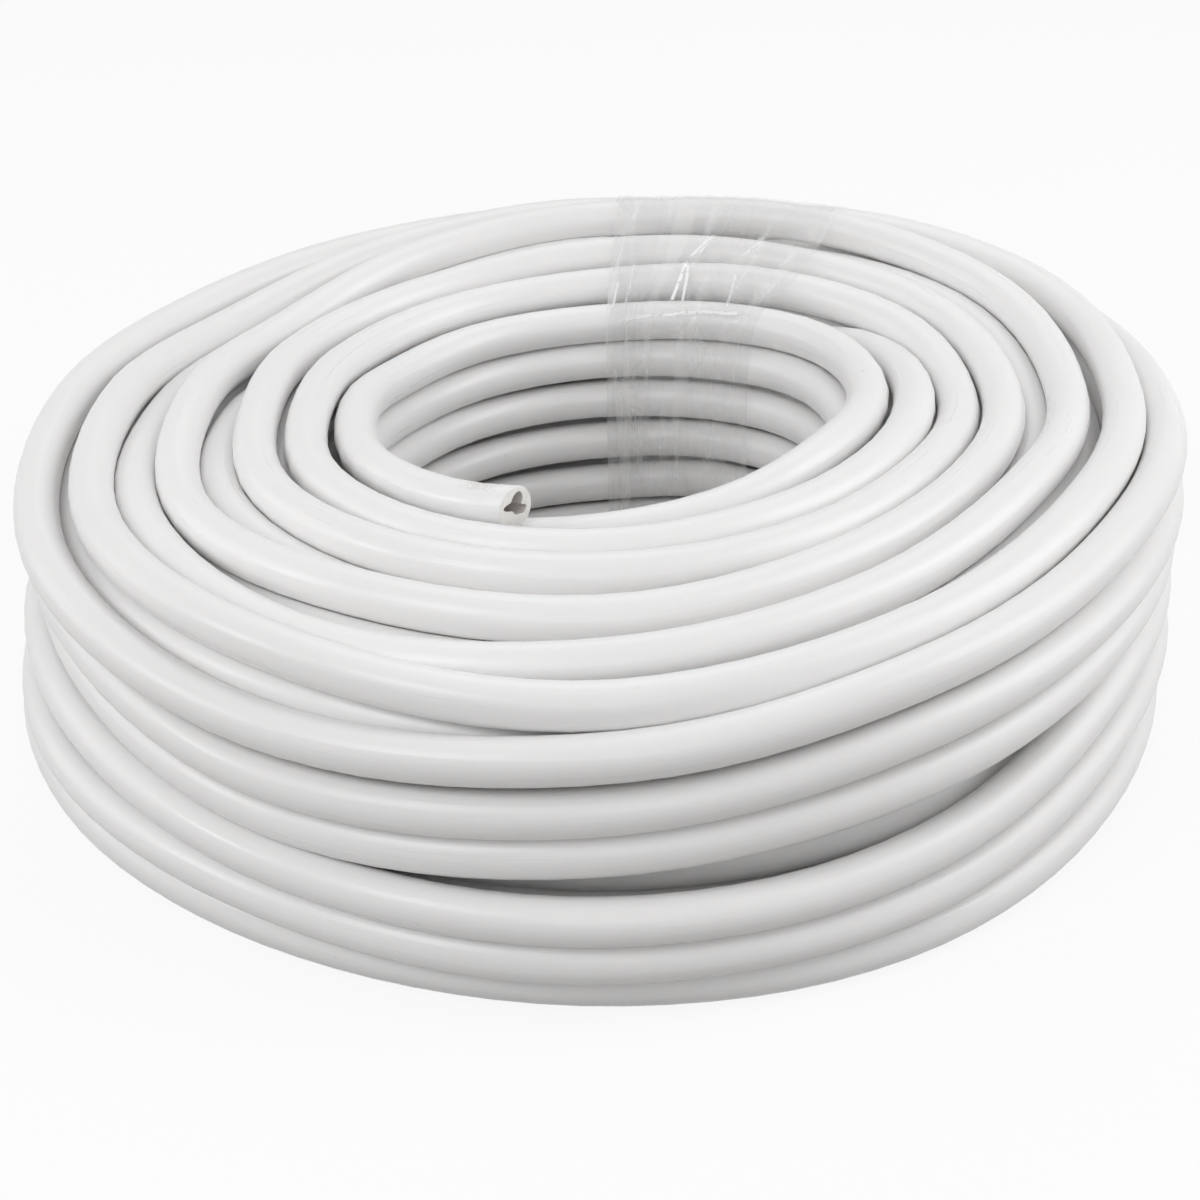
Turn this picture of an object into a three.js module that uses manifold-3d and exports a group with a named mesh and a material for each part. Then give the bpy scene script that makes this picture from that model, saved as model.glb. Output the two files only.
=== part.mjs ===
// A 50 m coil of smooth thick-walled suction hose, held by one band of clear stretch film.
// The coil lies flat: +Z is up, the floor is z = 0 and the axis of the eye is near the z axis.
// Lengths are in millimetres and angles in degrees, anticlockwise seen from above, with 0 at +X.
import * as THREE from "three";
import { mergeVertices } from "three/addons/utils/BufferGeometryUtils.js";
import Module from "manifold-3d";

// The hose.
const HOSE_DIAMETER = 16;
const BORE_LOBE_RADIUS = 4.9; // from the hose's axis to the bottom of a lobe of the bore
const BORE_RIB_RADIUS = 1.7; // from the hose's axis to the tip of a rib in the bore
const BORE_RIBS = 4;

// The coil, before it is drawn oval.
const EYE_DIAMETER = 180;
const COIL_DIAMETER = 436;
const COIL_HEIGHT = 122;
const SHOULDER_RADIUS = 26; // rounding of the bundle's four long edges, over the turns
const LEAST_TURN_GAP = 2; // room from one turn to the next where the turns are closest
const OPENING = [8, 62]; // angles past the film over which the turns spread once the last one has ended
const CLOSING = [117, 167]; // angles past the film over which they draw together before the free end
const FOOT_CUT = HOSE_DIAMETER / 10; // depth of the flat that the lowest turns stand on

// How the coil is out of true.
const OVAL_STRETCH = 14; // added to the outermost turn's radius on the long diagonal
const OVAL_ANGLE = 52; // direction of the long diagonal
const CROWN_RISE = 26; // height that the film's squeeze lifts the middle of the top turns
const CROWN_DROP = 4; // height that it draws down the turns at both edges of the top
const FOOT_LIFT = 4; // height that it lifts the lowest turns off the floor
const SQUEEZE_SPREAD = 55; // angle over which the squeeze dies away on each side

// The free end, which lies on the innermost turn.
const FREE_END_ANGLE = 252;
const FREE_END_SWEEP = 30; // angle of coil that the free end takes
const FREE_END_INSET = 10; // how far it leans into the eye
const FREE_END_RISE = 5; // how far it stands above its place in the coil
const LEAN_TURNS = 0.5; // share of a turn over which that lean dies away

// The film.
const FILM_THICKNESS = 0.6;
const FILM_ANGLE = 72;
const FILM_SWEEP = 30;
const FILM_CLEARANCE = 1.2; // from the turns to the film
const JOINT_GAP = 0.3; // between the free end and the turn that it continues
const CORE_CLEARANCE = 1.2; // from the outer layer of turns to the buried ones

// How finely the shapes are divided.
const STEPS_PER_TURN = 24;
const TURN_SIDES = 6;
const FREE_END_SIDES = 16;
const CORE_FACET = 11.3; // length of a facet round the section of the buried turns
const FILM_FACET = 6.8;
const FREE_END_STEPS = 8;
const FILM_STEPS = 4;

const wasm = await Module();
wasm.setup();

const rad = THREE.MathUtils.degToRad;
const hoseRadius = HOSE_DIAMETER / 2;

// The section of the bundle: a rounded rectangle through the centres of the outer layer of turns.
const section = {
  inner: EYE_DIAMETER / 2 + hoseRadius,
  outer: COIL_DIAMETER / 2 - hoseRadius,
  bottom: hoseRadius - FOOT_CUT,
  top: COIL_HEIGHT - hoseRadius,
  corner: SHOULDER_RADIUS - hoseRadius,
};
const sectionWidth = section.outer - section.inner;
const sectionHeight = section.top - section.bottom;
const flatWidth = sectionWidth - 2 * section.corner;
const flatHeight = sectionHeight - 2 * section.corner;
const cornerLength = (section.corner * Math.PI) / 2;
const perimeter = 2 * (flatWidth + flatHeight) + 4 * cornerLength;
const corePoints = Math.round(perimeter / CORE_FACET);
const filmPoints = Math.round(perimeter / FILM_FACET);

// The point at a distance along the section: down the eye's wall from the top of the inner shoulder,
// out along the bottom, up the outer wall and back in along the top.
function sectionPoint(distance) {
  const { inner, outer, bottom, top, corner } = section;
  const runs = [
    { length: cornerLength, centre: [inner + corner, top - corner], from: 90 },
    { length: flatHeight, start: [inner, top - corner], way: [0, -1] },
    { length: cornerLength, centre: [inner + corner, bottom + corner], from: 180 },
    { length: flatWidth, start: [inner + corner, bottom], way: [1, 0] },
    { length: cornerLength, centre: [outer - corner, bottom + corner], from: 270 },
    { length: flatHeight, start: [outer, bottom + corner], way: [0, 1] },
    { length: cornerLength, centre: [outer - corner, top - corner], from: 0 },
    { length: flatWidth, start: [outer - corner, top], way: [-1, 0] },
  ];
  let left = THREE.MathUtils.euclideanModulo(distance, perimeter);
  for (const run of runs) {
    if (left > run.length) {
      left -= run.length;
      continue;
    }
    if (run.way) return [run.start[0] + run.way[0] * left, run.start[1] + run.way[1] * left];
    const angle = rad(run.from) + left / corner;
    return [run.centre[0] + corner * Math.cos(angle), run.centre[1] + corner * Math.sin(angle)];
  }
  return [inner + corner, top];
}

// How strongly the film's squeeze acts at an angle round the coil, from 0 to 1.
function squeezeAt(angle) {
  const away = THREE.MathUtils.euclideanModulo(angle - FILM_ANGLE + 180, 360) - 180;
  return Math.exp(-((away / SQUEEZE_SPREAD) ** 2));
}

// Takes a point of the true section to its place in the coil as it lies: oval, and crowned at the film.
function outOfTrue(angle, [radius, z]) {
  const oval = (OVAL_STRETCH * radius) / section.outer;
  const height = (z - section.bottom) / sectionHeight;
  const across = (radius - section.inner) / sectionWidth;
  const crown = CROWN_RISE * Math.sin(Math.PI * across) ** 2 - CROWN_DROP;
  const lift = squeezeAt(angle) * (height * crown + (1 - height) * FOOT_LIFT);
  return [radius + oval * Math.cos(2 * rad(angle - OVAL_ANGLE)), z + lift];
}

// The outward direction of the bundle's skin, in the plane through the coil's axis, from two points of it
// half a hose apart.
function skinNormal(angle, distance) {
  const reach = HOSE_DIAMETER / 4;
  const [r0, z0] = outOfTrue(angle, sectionPoint(distance - reach));
  const [r1, z1] = outOfTrue(angle, sectionPoint(distance + reach));
  const length = Math.hypot(r1 - r0, z1 - z0);
  return [(z1 - z0) / length, (r0 - r1) / length];
}

const inSpace = (angle, [radius, z]) =>
  new THREE.Vector3(radius * Math.cos(rad(angle)), radius * Math.sin(rad(angle)), z);

// The angle that the turns reach at each of their steps, and that the core and the film share.
const stepAngle = (step) => FREE_END_ANGLE - FREE_END_SWEEP - (360 * step) / STEPS_PER_TURN;

// A point of the bundle's skin at a step, moved outward by an offset. A part of a step lies on the straight
// line between the two whole ones, as the turns do.
function skinPoint(step, distance, offset) {
  const [before, after] = [Math.floor(step), Math.floor(step) + 1].map((whole) => {
    const angle = stepAngle(whole);
    const [radius, z] = outOfTrue(angle, sectionPoint(distance));
    const [nr, nz] = skinNormal(angle, distance);
    return inSpace(angle, [radius + nr * offset, z + nz * offset]);
  });
  return before.lerp(after, step - Math.floor(step));
}

// The outer layer: one tube from the free end, down the eye's wall, out along the bottom, up the outer wall
// and in along the top, until it dips under the film beside the turn that it began with.
const passes = Math.floor(perimeter / (HOSE_DIAMETER + LEAST_TURN_GAP));
const denseSpacing = perimeter / passes; // where the last turn lies beside the first
const openSpacing = perimeter / (passes - 1); // past the end of the last turn
const firstPlace = cornerLength / 2;
const turnStart = FREE_END_SWEEP / 360; // where the free end gives way to the wound turns
const turnSteps = Math.round(
  STEPS_PER_TURN * (passes - 1 - turnStart + (FREE_END_ANGLE - FILM_ANGLE) / 360),
);
const turnAt = (step) => turnStart + step / STEPS_PER_TURN;

// The spacing goes from dense to open just past the film, and back to dense before the free end.
function spacingAt(angle) {
  const past = THREE.MathUtils.euclideanModulo(FILM_ANGLE - angle, 360);
  const opened = THREE.MathUtils.smoothstep(past, ...OPENING);
  const closed = THREE.MathUtils.smoothstep(past, ...CLOSING);
  return denseSpacing + (openSpacing - denseSpacing) * (opened - closed);
}

// The hose's centre after a number of turns from the cut end.
function routePoint(turn) {
  const angle = FREE_END_ANGLE - 360 * turn;
  const [radius, z] = outOfTrue(angle, sectionPoint(firstPlace + spacingAt(angle) * turn));
  const lean = 1 - THREE.MathUtils.smoothstep(turn, 0, LEAN_TURNS);
  return inSpace(angle, [radius - FREE_END_INSET * lean, z + FREE_END_RISE * lean]);
}

// A closed tube through points: each ring is square to the route, with its first corner on top.
// The section is a list of [up, across] pairs, and hole, when given, is a second one inside it.
function tube(points, ring, hole) {
  const corners = [];
  const faces = [];
  const sides = ring.length;
  points.forEach((point, i) => {
    const before = points[Math.max(i - 1, 0)];
    const after = points[Math.min(i + 1, points.length - 1)];
    const along = after.clone().sub(before).normalize();
    const up = new THREE.Vector3(0, 0, 1).addScaledVector(along, -along.z).normalize();
    const side = along.clone().cross(up);
    for (const shape of hole ? [ring, hole] : [ring]) {
      for (const [u, v] of shape) {
        corners.push(point.clone().addScaledVector(up, u).addScaledVector(side, v));
      }
    }
  });
  const stride = hole ? 2 * sides : sides;
  const last = (points.length - 1) * stride;
  const quad = (a, b, c, d) => faces.push(a, b, c, a, c, d);
  for (let k = 0; k < sides; k += 1) {
    const next = (k + 1) % sides;
    for (let base = 0; base < last; base += stride) {
      quad(base + k, base + next, base + stride + next, base + stride + k);
      if (hole) {
        const inside = base + sides;
        quad(inside + next, inside + k, inside + stride + k, inside + stride + next);
      }
    }
    if (hole) {
      quad(sides + k, sides + next, next, k);
      quad(last + k, last + next, last + sides + next, last + sides + k);
    } else if (k > 1) {
      faces.push(0, k, k - 1);
      faces.push(last, last + k - 1, last + k);
    }
  }
  return indexed(corners, faces);
}

function indexed(corners, faces) {
  const geometry = new THREE.BufferGeometry();
  geometry.setAttribute("position", new THREE.Float32BufferAttribute(corners.flatMap((p) => [...p]), 3));
  geometry.setIndex(faces);
  return geometry;
}

const circle = (radius, sides) =>
  Array.from({ length: sides }, (_, k) => {
    const angle = (2 * Math.PI * k) / sides;
    return [radius * Math.cos(angle), radius * Math.sin(angle)];
  });

// The bore: a lobe between each two ribs, with as many points as the outside has.
const boreSection = Array.from({ length: FREE_END_SIDES }, (_, k) => {
  const angle = (2 * Math.PI * k) / FREE_END_SIDES;
  const lobe = Math.abs(Math.sin((BORE_RIBS * angle) / 2));
  const radius = BORE_RIB_RADIUS + (BORE_LOBE_RADIUS - BORE_RIB_RADIUS) * lobe;
  return [radius * Math.cos(angle), radius * Math.sin(angle)];
});

// Joins or cuts closed geometries as solids.
function solid(geometry) {
  const bare = geometry.index ? geometry : mergeVertices(geometry);
  return new wasm.Manifold(
    new wasm.Mesh({
      numProp: 3,
      vertProperties: bare.attributes.position.array,
      triVerts: new Uint32Array(bare.index.array),
    }),
  );
}

function geometryOf(manifold) {
  const mesh = manifold.getMesh();
  const geometry = new THREE.BufferGeometry();
  geometry.setAttribute("position", new THREE.BufferAttribute(mesh.vertProperties, 3));
  geometry.setIndex(new THREE.BufferAttribute(mesh.triVerts, 1));
  return geometry;
}

// The joint between the free end and the turns, where both run straight for a hose's diameter.
const joint = routePoint(turnStart);
const jointWay = routePoint(turnAt(0.5)).sub(routePoint(turnAt(-0.5))).normalize();
const fromJoint = (distance) => joint.clone().addScaledVector(jointWay, distance);

// The outer layer of turns, cut flat where it stands on the floor.
const turnPoints = [joint, fromJoint(HOSE_DIAMETER)];
for (let step = 1; step <= turnSteps; step += 1) turnPoints.push(routePoint(turnAt(step)));

function makeTurns() {
  const whole = tube(turnPoints, circle(hoseRadius, TURN_SIDES));
  const span = 2 * COIL_DIAMETER; // wider than the coil, oval and all
  const floor = new THREE.BoxGeometry(span, span, HOSE_DIAMETER);
  floor.translate(0, 0, -HOSE_DIAMETER / 2);
  floor.deleteAttribute("normal");
  floor.deleteAttribute("uv");
  return geometryOf(solid(whole).subtract(solid(mergeVertices(floor))));
}

// The free end, from the cut face round the eye to the joint. Its bend ends a little before its straight run.
function makeFreeEnd() {
  const bendTurns = turnStart - (1.5 * HOSE_DIAMETER) / (2 * Math.PI * Math.hypot(joint.x, joint.y));
  const points = [];
  for (let step = 0; step <= FREE_END_STEPS; step += 1) {
    points.push(routePoint((bendTurns * step) / FREE_END_STEPS));
  }
  points.push(fromJoint(-HOSE_DIAMETER), fromJoint(-JOINT_GAP));
  return tube(points, circle(hoseRadius, FREE_END_SIDES), boreSection);
}

// The buried turns, as one plain ring under the outer layer.
function makeCore() {
  const corners = [];
  const faces = [];
  for (let step = 0; step < STEPS_PER_TURN; step += 1) {
    const nextBase = ((step + 1) % STEPS_PER_TURN) * corePoints;
    for (let k = 0; k < corePoints; k += 1) {
      corners.push(skinPoint(step, (perimeter * k) / corePoints, -hoseRadius - CORE_CLEARANCE));
      const [a, b] = [step * corePoints + k, step * corePoints + ((k + 1) % corePoints)];
      const [c, d] = [nextBase + ((k + 1) % corePoints), nextBase + k];
      faces.push(a, b, c, a, c, d);
    }
  }
  return indexed(corners, faces);
}

// The film: a closed band round the bundle's section.
function makeFilm() {
  const corners = [];
  const faces = [];
  const inside = hoseRadius + FILM_CLEARANCE;
  for (let station = 0; station <= FILM_STEPS; station += 1) {
    const angle = FILM_ANGLE + FILM_SWEEP * (0.5 - station / FILM_STEPS);
    const step = ((stepAngle(0) - angle) * STEPS_PER_TURN) / 360;
    for (const offset of [inside, inside + FILM_THICKNESS]) {
      for (let k = 0; k < filmPoints; k += 1) {
        corners.push(skinPoint(step, (perimeter * k) / filmPoints, offset));
      }
    }
  }
  const at = (station, layer, k) => (2 * station + layer) * filmPoints + (k % filmPoints);
  const quad = (a, b, c, d) => faces.push(a, c, b, a, d, c);
  for (let k = 0; k < filmPoints; k += 1) {
    for (let station = 0; station < FILM_STEPS; station += 1) {
      const next = station + 1;
      quad(at(station, 1, k), at(next, 1, k), at(next, 1, k + 1), at(station, 1, k + 1));
      quad(at(station, 0, k), at(station, 0, k + 1), at(next, 0, k + 1), at(next, 0, k));
    }
    quad(at(0, 0, k), at(0, 1, k), at(0, 1, k + 1), at(0, 0, k + 1));
    quad(at(FILM_STEPS, 0, k), at(FILM_STEPS, 0, k + 1), at(FILM_STEPS, 1, k + 1), at(FILM_STEPS, 1, k));
  }
  return indexed(corners, faces);
}

// The least gap from the outer layer to itself, measured between the runs of turns a good way apart.
function leastGap(points) {
  const near = STEPS_PER_TURN / 2;
  let least = Infinity;
  const between = new THREE.Vector3();
  const run = new THREE.Vector3();
  for (let i = 1; i < points.length; i += 1) {
    run.subVectors(points[i], points[i - 1]);
    for (let j = 0; j < points.length; j += 1) {
      if (Math.abs(i - j) < near) continue;
      between.subVectors(points[j], points[i - 1]);
      const share = THREE.MathUtils.clamp(between.dot(run) / run.lengthSq(), 0, 1);
      least = Math.min(least, between.addScaledVector(run, -share).length());
    }
  }
  return least - HOSE_DIAMETER;
}

const hosePlastic = new THREE.MeshStandardMaterial({ color: 0xe9eaee, roughness: 0.42, metalness: 0 });
const cutPlastic = new THREE.MeshStandardMaterial({ color: 0xece8e2, roughness: 0.55, metalness: 0 });
const buriedPlastic = new THREE.MeshStandardMaterial({ color: 0xd5d4d2, roughness: 0.5, metalness: 0 });
const clearFilm = new THREE.MeshStandardMaterial({
  color: 0xeef0f2,
  roughness: 0.15,
  metalness: 0,
  transparent: true,
  opacity: 0.35,
});

function named(name, geometry, material) {
  const mesh = new THREE.Mesh(geometry, material);
  mesh.name = name;
  return mesh;
}

const coil = new THREE.Group();
coil.add(named("hose_turns", makeTurns(), hosePlastic));
coil.add(named("hose_free_end", makeFreeEnd(), cutPlastic));
coil.add(named("hose_buried_turns", makeCore(), buriedPlastic));
coil.add(named("film_band", makeFilm(), clearFilm));

// The origin is on the floor, under the middle of the whole coil.
const box = new THREE.Box3().setFromObject(coil);
const middle = box.getCenter(new THREE.Vector3());
coil.position.set(-middle.x, -middle.y, 0);
const hoseCoil = new THREE.Group();
hoseCoil.add(coil);

console.log("turns in the outer layer:", turnAt(turnSteps).toFixed(2));
console.log("least gap between turns, mm:", leastGap(turnPoints).toFixed(2));

export default hoseCoil;
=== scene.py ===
"""A coil of white hose, held at the back by a band of clear film, on a pale floor."""

import logging
import math
from dataclasses import dataclass, field
from enum import Enum, IntEnum
from typing import Any, Iterable, Sequence

import bpy
import numpy as np
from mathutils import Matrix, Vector


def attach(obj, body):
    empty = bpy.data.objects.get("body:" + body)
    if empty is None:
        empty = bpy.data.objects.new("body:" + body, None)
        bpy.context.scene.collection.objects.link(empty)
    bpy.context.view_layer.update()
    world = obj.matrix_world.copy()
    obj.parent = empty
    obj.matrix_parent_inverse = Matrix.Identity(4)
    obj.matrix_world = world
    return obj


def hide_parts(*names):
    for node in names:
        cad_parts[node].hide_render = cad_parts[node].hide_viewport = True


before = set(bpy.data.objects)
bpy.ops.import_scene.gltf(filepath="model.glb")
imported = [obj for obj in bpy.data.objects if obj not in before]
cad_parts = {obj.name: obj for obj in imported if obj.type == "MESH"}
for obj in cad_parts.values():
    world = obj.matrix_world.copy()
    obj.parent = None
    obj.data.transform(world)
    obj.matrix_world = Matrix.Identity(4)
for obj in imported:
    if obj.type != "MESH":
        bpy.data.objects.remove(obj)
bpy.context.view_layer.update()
LOG = logging.getLogger("hose_coil")

Pair = tuple[float, float]  # of a place, its radius and height
Triple = tuple[float, float, float]
Turn = dict[int, Pair]

HOSE = 0.016  # outside diameter of the hose in metres: every measure of the lay is in hose diameters
ON_FLOOR = 0.5  # height of a strand's centre where it lies on the floor
AXIS = Vector((0.0, -0.00143, 0.0))  # the coil's own axis in the part's frame
STATION = 30  # degrees between the places where a turn's lay is given
PER_TURN = 360 // STATION
FAR_OFF = 1e3  # a distance at which nothing touches
TINY = 1e-9  # keeps a distance from being nought
WHITE = (1.0, 1.0, 1.0, 1.0)


def stations(first: int) -> tuple[int, ...]:
    """The angles of one turn's stations, in the order in which the hose passes them."""
    return tuple((first - STATION * number) % 360 for number in range(PER_TURN))


RIGHT_BACK_ON = stations(60)
FREE_END_ON = stations(240)


class Strand(Enum):
    """Where in the bundle a stretch of hose lies, how hard it keeps its place and how freely it gives."""

    EYE = (0.12, 0.3)
    TOP = (0.12, 0.25)
    SIDE = (0.12, 0.24)
    BED = (0.02, 0.8)
    HEAP = (0.03, 0.8)
    CORE = (0.01, 1.0)

    @property
    def pull(self) -> float:
        """How hard the stretch is drawn back to its own place."""
        return self.value[0]

    @property
    def give(self) -> float:
        """How freely it moves when a neighbour presses on it."""
        return self.value[1]


class Finish(IntEnum):
    """The hose's finishes, by number."""

    SKIN = 0
    CUT = 1
    # the bore, in a copy of the plastic darkened with painted shade
    BORE = 2


class Follow(IntEnum):
    """What a pattern follows, by output of the Texture Coordinate node."""

    UV = 2
    OBJECT = 3


class Ray(IntEnum):
    """Kinds of ray, by output of the Light Path node."""

    CAMERA = 0
    GLOSSY = 3
    TRANSMISSION = 6


@dataclass(frozen=True)
class Knot:
    """One place that the hose's centre line passes: distance from the axis and height."""

    strand: Strand
    radius: float
    height: float


@dataclass
class Patch:
    """A piece of mesh: points, faces, each face's finish and each corner's place on the pattern's map."""

    points: np.ndarray
    faces: list[list[int]]
    finishes: list[int]
    uv: list[Pair]


def ring(right: str, left: str) -> Turn:
    """One turn's lay, as twelve "radius,height" pairs apart by spaces.

    Args:
        right: the six pairs from the right-hand back round to the front.
        left: the six from the front left round to the back.

    Returns:
        the pairs by their station's angle.
    """
    pairs = [tuple(float(value) for value in pair.split(",")) for pair in f"{right} {left}".split()]
    return dict(zip(RIGHT_BACK_ON, pairs, strict=True))


def runs(points: np.ndarray) -> np.ndarray:
    """How far each point of a line is from its first, along the line."""
    return np.concatenate([[0], np.cumsum(np.linalg.norm(np.diff(points, axis=0), axis=1))])


def picked(at: np.ndarray, known: np.ndarray, points: np.ndarray) -> np.ndarray:
    """Points of a line at new places along it, from its points at known ones."""
    return np.stack([np.interp(at, known, column) for column in points.T], axis=1)


def turned(places: np.ndarray, degrees: np.ndarray) -> np.ndarray:
    """Places by radius and height as x, y and z, each turned to its own angle round the axis."""
    angle = np.radians(degrees)
    return np.stack([places[..., 0] * np.cos(angle), places[..., 0] * np.sin(angle), places[..., 1]], axis=-1)


@dataclass
class CoilLay:
    """How the one hose is wound: down the eye, through the core, out over the top and down the side."""

    eye: tuple[Turn, ...] = (
        ring("6.4,7.05 6.5,7.35 6.4,7.42 6,7.4 5.75,6.95 5.65,6.57",
             "6.12,7.2 6.07,7.07 5.77,7.02 5.82,6.62 6.1,6.6 6.3,6.7"),
        ring("6.3,5.98 6.2,6.35 6.1,6.3 5.9,6.25 5.75,5.9 5.7,5.5",
             "5.75,6.2 5.85,6 5.8,5.85 5.9,5.5 6.1,5.53 6.25,5.69"),
        ring("6.3,4.82 6.2,5.12 6.1,5.1 5.9,4.98 5.75,4.75 5.7,4.4",
             "5.75,5.1 5.85,4.88 5.8,4.75 5.8,4.45 6.1,4.42 6.25,4.55"),
        ring("6.3,3.68 6.2,3.98 6.1,3.95 5.9,3.78 5.75,3.55 5.7,3.25",
             "5.75,3.95 5.85,3.68 5.8,3.48 5.85,3.22 6.1,3.2 6.25,3.32"),
        ring("6.3,2.5 6.2,2.7 6.1,2.7 5.9,2.6 5.75,2.35 5.7,2.1",
             "5.75,2.7 5.85,2.35 5.8,2.2 5.9,2 6.1,1.98 6.25,2.05"),
        ring("6.3,1.3 6.2,1.4 6.1,1.3 5.9,1.1 5.75,0.9 5.7,0.65",
             "5.75,1.5 5.85,1.25 5.8,1.05 5.9,0.9 6.1,0.85 6.25,0.9"),
    )
    top: tuple[Turn, ...] = (
        ring("7.6,6.1 7.8,6.95 7.5,7.38 7.25,7.35 7.15,7.2 7.33,7.08",
             "7.45,7.02 7.36,7.1 6.8,7.3 6.93,7.05 7.25,7.05 7.45,7.25"),
        ring("7.85,7.6 8.6,7.5 8.55,7.2 8.2,7.3 8.3,7.2 8.55,7.15",
             "8.65,7.1 8.55,7.1 8,7.35 8.25,7.12 8.4,7.28 8.5,7.75"),
        ring("9.2,7.8 9.75,7.65 9.6,7.35 9.3,7.35 9.35,7.1 10,6.95",
             "10.22,6.97 10.4,6.95 9.55,7.4 9.4,7.1 9.75,7.65 10,8.2"),
        ring("10.7,8.45 11.5,7.98 11.15,7.4 10.6,7.5 10.8,7.1 11.4,6.75",
             "11.7,6.52 11.45,6.8 10.45,6.8 10.3,6.5 10.3,6.6 10.5,7"),
        ring("12.1,7.95 13,7.8 12.45,7.4 11.9,7.35 12.2,7 12.75,6.6",
             "12.65,6.8 12.35,7 11.4,7.3 11.1,6.85 11.4,7.4 11.7,7.8"),
        ring("13,7.1 13.9,6.95 13.42,6.97 12.9,7.05 13.2,6.72 13.35,5.87",
             "13.5,5.62 13.55,6.4 12.7,7.1 12.35,7.05 12.6,7.1 12.8,7.15"),
    )
    side: tuple[Turn, ...] = (
        ring("13.5,5.95 13.6,5.88 13.3,5.95 13.2,6.05 13.38,5.6 13.4,4.62",
             "13.55,4.43 13.3,5.2 13.1,5.8 12.9,5.85 12.95,5.9 13.2,5.95"),
        ring("13.5,4.85 13.45,4.87 13.25,4.95 13.15,5.05 13.4,4.5 13.35,3.7",
             "13.4,3.43 13.1,4.05 12.9,4.55 12.95,4.6 12.95,4.7 13.2,4.8"),
        ring("13.5,3.75 13.4,3.85 13.25,3.9 13.25,4 13.6,2.72 13.85,2.22",
             "13.65,2.44 13.5,2.95 13.35,3.3 13,3.4 13,3.55 13.2,3.65"),
        ring("13.5,2.55 13.45,2.6 13.35,2.65 13.32,2.55 13.6,1.62 13.75,1.4",
             "13.6,1.46 13.8,1.75 13.4,2 13,2.1 13,2.3 13.2,2.45"),
        ring("13.4,1.4 13.4,1.3 13.3,1.1 13.25,0.8 13.45,0.55 13.42,0.5",
             "13.3,0.5 13.6,0.5 13.76,0.6 13.1,0.7 13,0.6 13.2,0.5"),
    )
    off_the_eye: tuple[float, ...] = (0.62, 0.9, 1.02, 1.03, 1.03, 1.03)  # of the first strand on the floor
    rows: int = 5  # of the core
    columns: int = 6
    beside: float = 1.03  # between a core strand and the wall next to it
    shallow: float = 0.04  # the square of the least depth of a groove
    ease: float = 0.2  # how far a turn under the top bends towards the next at its last station
    steps: int = 8  # places from one station to the next
    finer: int = 6  # points from one place to the next
    rounds: int = 320
    touch: float = 1.004  # strands nearer than this press on each other
    push: float = 0.7  # the share of an overlap that one round takes away
    draw: float = 0.5  # the share of its pull by which a strand goes back to its place in one round
    places: np.ndarray = field(init=False)

    @property
    def turn(self) -> int:
        """The number of places in one turn."""
        return PER_TURN * self.steps

    def knots(self) -> list[Knot]:
        """The places that the hose passes, from its free end to its second end.

        Returns:
            the places, one for each station that it passes.
        """
        made = [Knot(Strand.EYE, *turn[angle]) for turn in self.eye for angle in FREE_END_ON]
        for angle, out in zip(FREE_END_ON, self.off_the_eye):
            made.append(Knot(Strand.BED, self.eye[-1][angle][0] + out, ON_FLOOR))
        under = {
            angle: [self.nest(inner[angle], outer[angle]) for inner, outer in zip(self.top, self.top[1:])]
            for angle in RIGHT_BACK_ON
        }
        for row in range(self.rows):
            columns = range(self.columns)
            for column in columns if row % 2 == 0 else reversed(columns):
                made += [self.packed(row, column, angle, under[angle]) for angle in RIGHT_BACK_ON]
        made += self.heap(under)
        for turn in self.top:
            made += [Knot(Strand.TOP, *turn[angle]) for angle in RIGHT_BACK_ON]
        for turn in self.side:
            made += [Knot(Strand.SIDE, *turn[angle]) for angle in RIGHT_BACK_ON]
        return made

    def packed(self, row: int, column: int, angle: int, roof: list[Pair]) -> Knot:
        """A place in the core, where turns lie in rows between the eye's wall and the side's.

        Args:
            row: the row's number from the floor.
            column: the column's number from the eye.
            angle: the station.
            roof: the strands that lie over the core there.

        Returns:
            the place.
        """
        ceiling = min(height for _, height in roof) - 1
        inner = min(turn[angle][0] for turn in self.eye[1:]) + self.beside
        outer = min(turn[angle][0] for turn in self.side) - self.beside
        share = column / (self.columns - 1)
        # beside the first strand on the floor, the row starts one place further out
        if row == 0 and angle in FREE_END_ON[: len(self.off_the_eye)]:
            share = (column + 1) / self.columns
        height = ON_FLOOR + (ceiling - ON_FLOOR) * row / (self.rows - 1)
        return Knot(Strand.CORE if row else Strand.BED, inner + (outer - inner) * share, height)

    def nest(self, first: Pair, second: Pair) -> Pair:
        """Where a strand lies in the groove under two others.

        Args:
            first: radius and height of one strand above it.
            second: radius and height of the other.

        Returns:
            radius and height of the strand below them.
        """
        a, b = np.array(first), np.array(second)
        half = np.linalg.norm(b - a) / 2
        along = (b - a) / (2 * half)
        up = np.array((-along[1], along[0])) * (1 if along[0] > 0 else -1)
        low = (a + b) / 2 - up * math.sqrt(max(1 - half * half, self.shallow))
        return float(low[0]), float(low[1])

    def heap(self, under: dict[int, list[Pair]]) -> list[Knot]:
        """The strands in the grooves under the top, wound inwards.

        Args:
            under: the grooves' places at each station, from the eye outwards.

        Returns:
            the places passed.
        """
        made = []
        for column in reversed(range(len(self.top) - 1)):
            turn = [under[angle][column] for angle in RIGHT_BACK_ON]
            ahead = under[RIGHT_BACK_ON[-1]][max(column - 1, 0)]
            turn[-1] = tuple(here + self.ease * (there - here) for here, there in zip(turn[-1], ahead))
            made += [Knot(Strand.HEAP, *place) for place in turn]
        return made

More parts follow.
